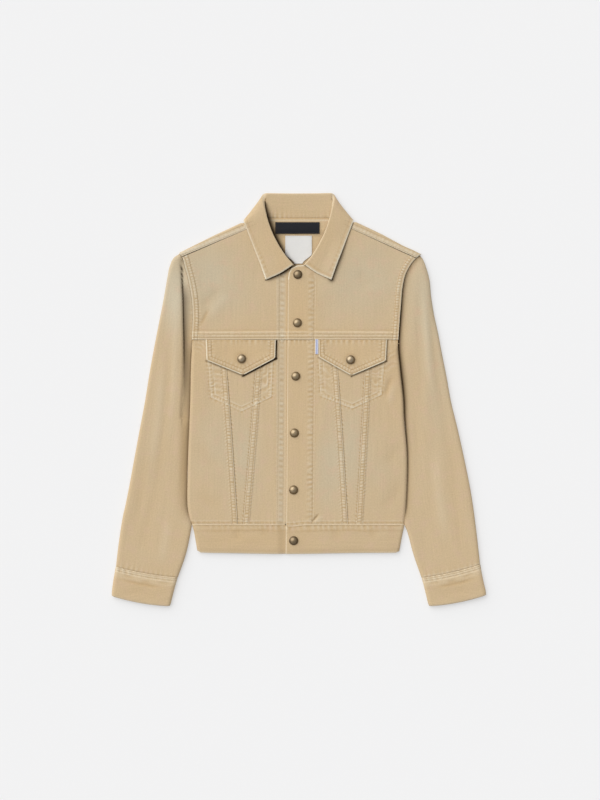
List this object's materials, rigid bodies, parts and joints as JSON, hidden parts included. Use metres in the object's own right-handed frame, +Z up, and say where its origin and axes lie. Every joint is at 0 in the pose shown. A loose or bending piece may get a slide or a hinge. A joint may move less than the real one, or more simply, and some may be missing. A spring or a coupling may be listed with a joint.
{
  "type": "corduroy jacket",
  "caption": "Short corduroy jacket with a button front, spread collar, chest flap pockets and V-shaped seams, laid flat with its front up.",
  "frame": {"origin": "centre of the jacket's box on the surface it lies on, on the underside of the back panel", "axes": "+X towards the wearer's left sleeve, +Y from the hem towards the collar, +Z up off the surface, out of the front"},
  "size_m": [0.6174, 0.6804, 0.014],
  "materials": {
    "corduroy": "washed fine-wale corduroy, tan, faded in places",
    "antique_brass": "antique, satin",
    "dark_label": "woven satin label, bare",
    "pale_label": "woven cotton label, bare"
  },
  "bodies": {
    "root": {"back": "corduroy", "back_yoke": "corduroy", "front_yoke_right": "corduroy", "front_yoke_left": "corduroy", "front_outer_right": "corduroy", "front_outer_left": "corduroy", "front_mid_right": "corduroy", "front_mid_left": "corduroy", "front_inner_right": "corduroy", "front_inner_left": "corduroy", "waistband": "corduroy", "sleeve_right": "corduroy", "sleeve_left": "corduroy", "cuff_right": "corduroy", "cuff_left": "corduroy", "collar": "corduroy", "flap_right": "corduroy", "flap_left": "corduroy", "button_1": "antique_brass", "button_2": "antique_brass", "button_3": "antique_brass", "button_4": "antique_brass", "button_5": "antique_brass", "button_6": "antique_brass", "flap_button_right": "antique_brass", "flap_button_left": "antique_brass", "neck_label": "dark_label", "size_label": "pale_label", "flap_tab": "pale_label"}
  },
  "joints": []
}
